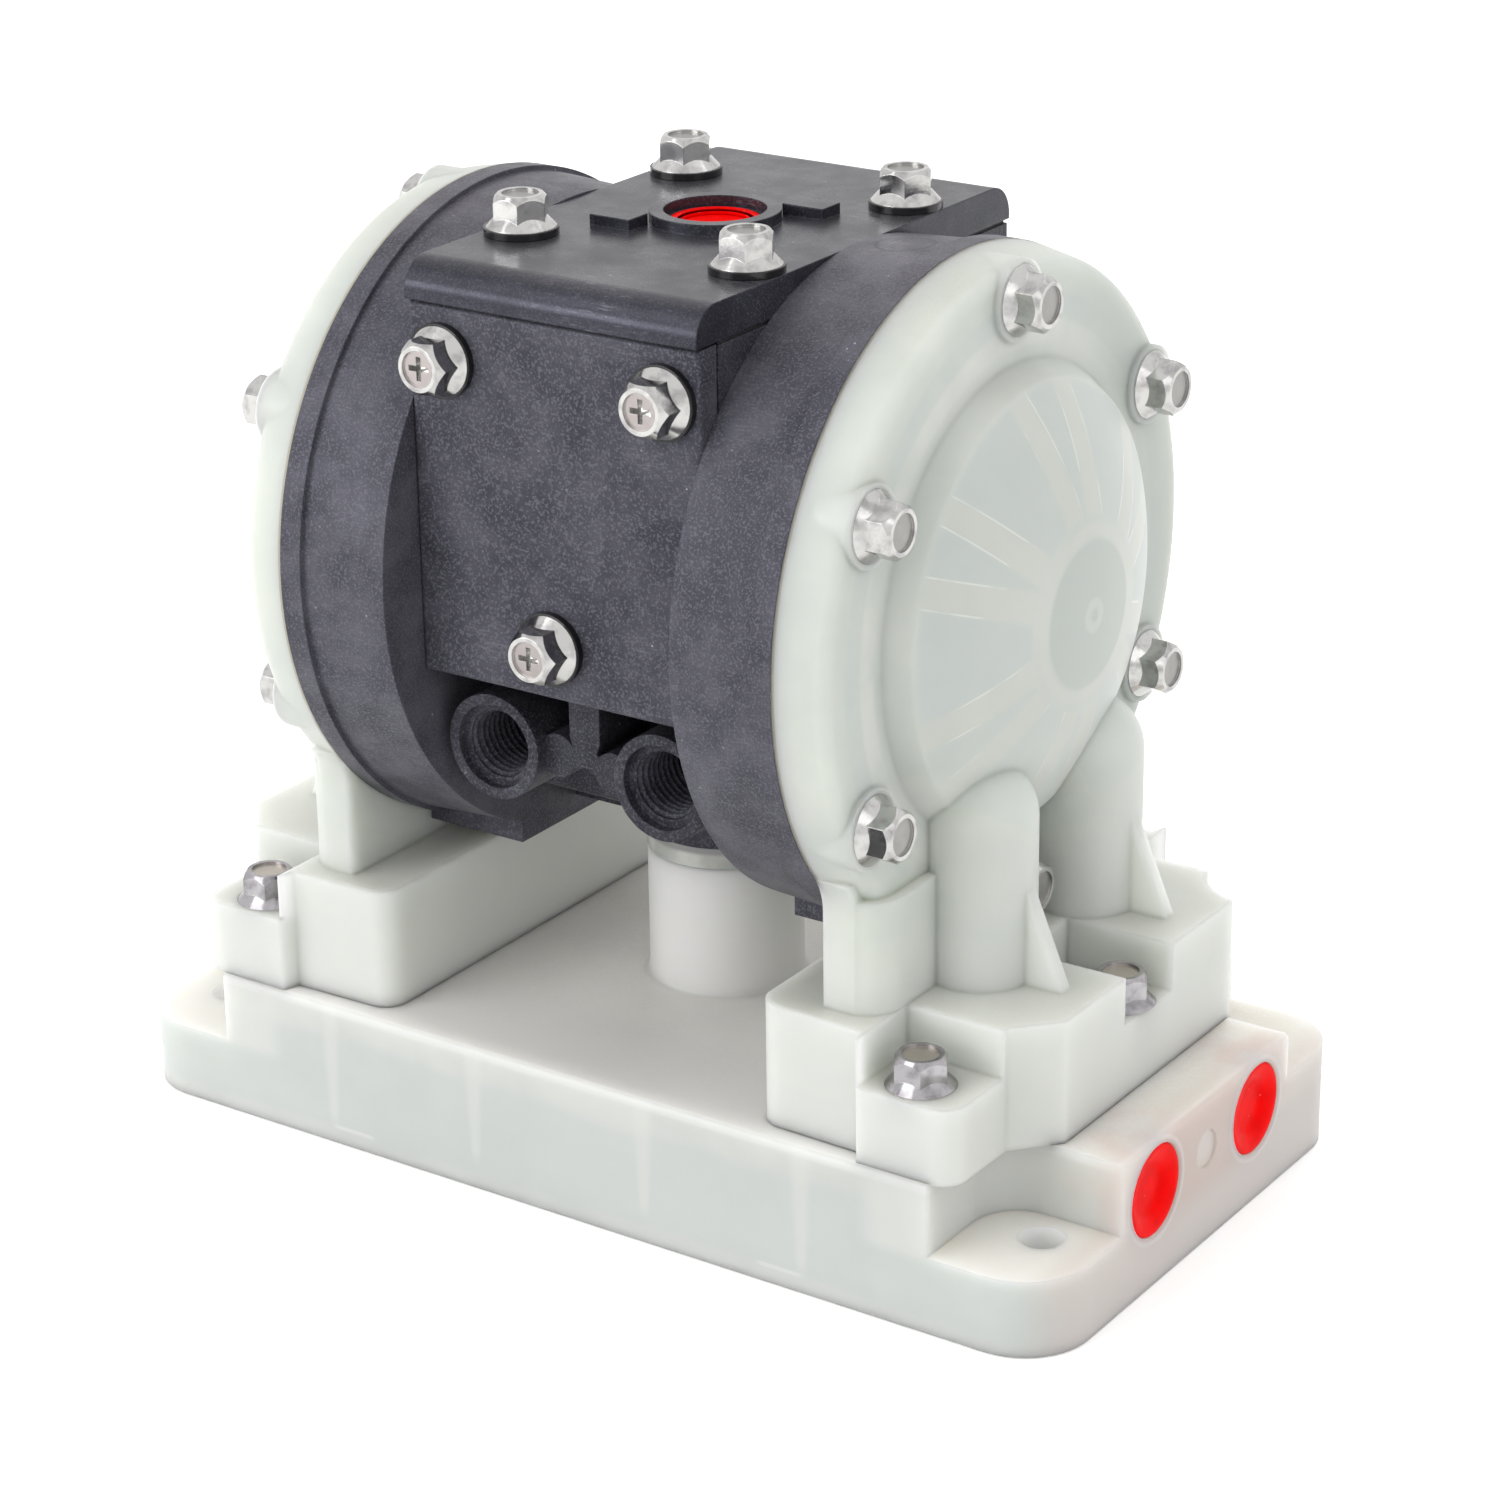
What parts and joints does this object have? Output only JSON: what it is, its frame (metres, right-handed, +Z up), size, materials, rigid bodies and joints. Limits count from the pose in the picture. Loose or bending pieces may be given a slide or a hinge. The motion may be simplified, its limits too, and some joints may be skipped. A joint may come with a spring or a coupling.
{
  "type": "air operated diaphragm pump",
  "caption": "Air operated diaphragm pump with paired fluid chambers, ball valve columns, a manifold base, a central air valve block and plugged ports.",
  "frame": {"origin": "middle of the underside of the base", "axes": "+X along the diaphragm shaft towards the end with the plugged ports, -Y the front with the threaded ports and the front cover, +Z up"},
  "size_m": [0.1822, 0.1088, 0.1599],
  "materials": {
    "natural_polypropylene": "moulded, milky and slightly translucent",
    "black_polypropylene": "glass filled, fine matte grain",
    "clear_plastic": "translucent",
    "porous_plastic": "porous",
    "plated_steel": "bright zinc",
    "black_washer": "glossy",
    "gasket_rubber": "matte",
    "diaphragm_rubber": "satin",
    "valve_plastic": "satin",
    "valve_ball": "smooth",
    "spring_steel": "drawn wire",
    "shaft_steel": "ground",
    "disc_aluminium": "turned",
    "disc_plastic": "moulded",
    "bush_plastic": "machined",
    "sleeve_metal": "anodised",
    "red_plug": "soft moulded"
  },
  "bodies": {
    "housing": {"base_manifold": "natural_polypropylene", "post_ring": "clear_plastic", "exhaust_silencer": "porous_plastic", "air_chamber_right": "black_polypropylene", "air_chamber_left": "black_polypropylene", "outer_chamber_right": "natural_polypropylene", "outer_chamber_left": "natural_polypropylene", "suction_seat_right": "valve_plastic", "suction_seat_left": "valve_plastic", "discharge_seat_right": "valve_plastic", "discharge_seat_left": "valve_plastic", "suction_cage_right": "valve_plastic", "suction_cage_left": "valve_plastic", "discharge_cage_right": "valve_plastic", "discharge_cage_left": "valve_plastic", "discharge_spring_right": "spring_steel", "discharge_spring_left": "spring_steel", "manifold_seals": "gasket_rubber", "centre_body": "black_polypropylene", "top_cover_gasket": "gasket_rubber", "top_cover": "black_polypropylene", "front_cover_gasket": "gasket_rubber", "front_cover": "black_polypropylene", "chamber_bolts_right": "plated_steel", "chamber_bolts_left": "plated_steel", "base_bolts": "plated_steel", "top_cover_washers": "black_washer", "top_cover_bolts": "plated_steel", "front_cover_washers": "black_washer", "front_cover_bolts": "plated_steel", "diaphragm_right": "diaphragm_rubber", "diaphragm_left": "diaphragm_rubber", "shaft_bushes": "bush_plastic", "shaft_seals": "gasket_rubber", "valve_sleeve": "sleeve_metal"},
    "shaft_group": {"diaphragm_shaft": "shaft_steel", "inner_disc_right": "disc_aluminium", "inner_disc_left": "disc_aluminium", "outer_disc_right": "disc_plastic", "outer_disc_left": "disc_plastic"},
    "spool_group": {"valve_spool": "disc_aluminium", "spool_seals": "gasket_rubber"},
    "suction_ball_right": {"suction_ball_right": "valve_ball"},
    "suction_ball_left": {"suction_ball_left": "valve_ball"},
    "discharge_ball_right": {"discharge_ball_right": "valve_ball"},
    "discharge_ball_left": {"discharge_ball_left": "valve_ball"},
    "suction_plug": {"suction_plug": "red_plug"},
    "discharge_plug": {"discharge_plug": "red_plug"},
    "air_inlet_plug": {"air_inlet_plug": "red_plug"}
  },
  "joints": [
    {"name": "shaft_stroke", "type": "slide", "parent": "housing", "child": "shaft_group", "axis": [1, 0, 0], "range_m": [-0.006, 0.006], "deforming": ["diaphragm_right", "diaphragm_left"]},
    {"name": "spool_shift", "type": "slide", "parent": "housing", "child": "spool_group", "axis": [1, 0, 0], "range_m": [-0.0045, 0.0045]},
    {"name": "suction_ball_lift_right", "type": "slide", "parent": "housing", "child": "suction_ball_right", "axis": [0, 0, 1], "range_m": [0, 0.003]},
    {"name": "suction_ball_lift_left", "type": "slide", "parent": "housing", "child": "suction_ball_left", "axis": [0, 0, 1], "range_m": [0, 0.003]},
    {"name": "discharge_ball_drop_right", "type": "slide", "parent": "housing", "child": "discharge_ball_right", "axis": [0, 0, -1], "range_m": [0, 0.003], "stiffness_N_per_m": 60, "springref_m": -0.002, "deforming": ["discharge_spring_right"]},
    {"name": "discharge_ball_drop_left", "type": "slide", "parent": "housing", "child": "discharge_ball_left", "axis": [0, 0, -1], "range_m": [0, 0.003], "stiffness_N_per_m": 60, "springref_m": -0.002, "deforming": ["discharge_spring_left"]},
    {"name": "suction_plug_pull", "type": "slide", "parent": "housing", "child": "suction_plug", "axis": [1, 0, 0], "range_m": [0, 0.02]},
    {"name": "discharge_plug_pull", "type": "slide", "parent": "housing", "child": "discharge_plug", "axis": [1, 0, 0], "range_m": [0, 0.02]},
    {"name": "air_inlet_plug_pull", "type": "slide", "parent": "housing", "child": "air_inlet_plug", "axis": [0, 0, 1], "range_m": [0, 0.02]}
  ]
}
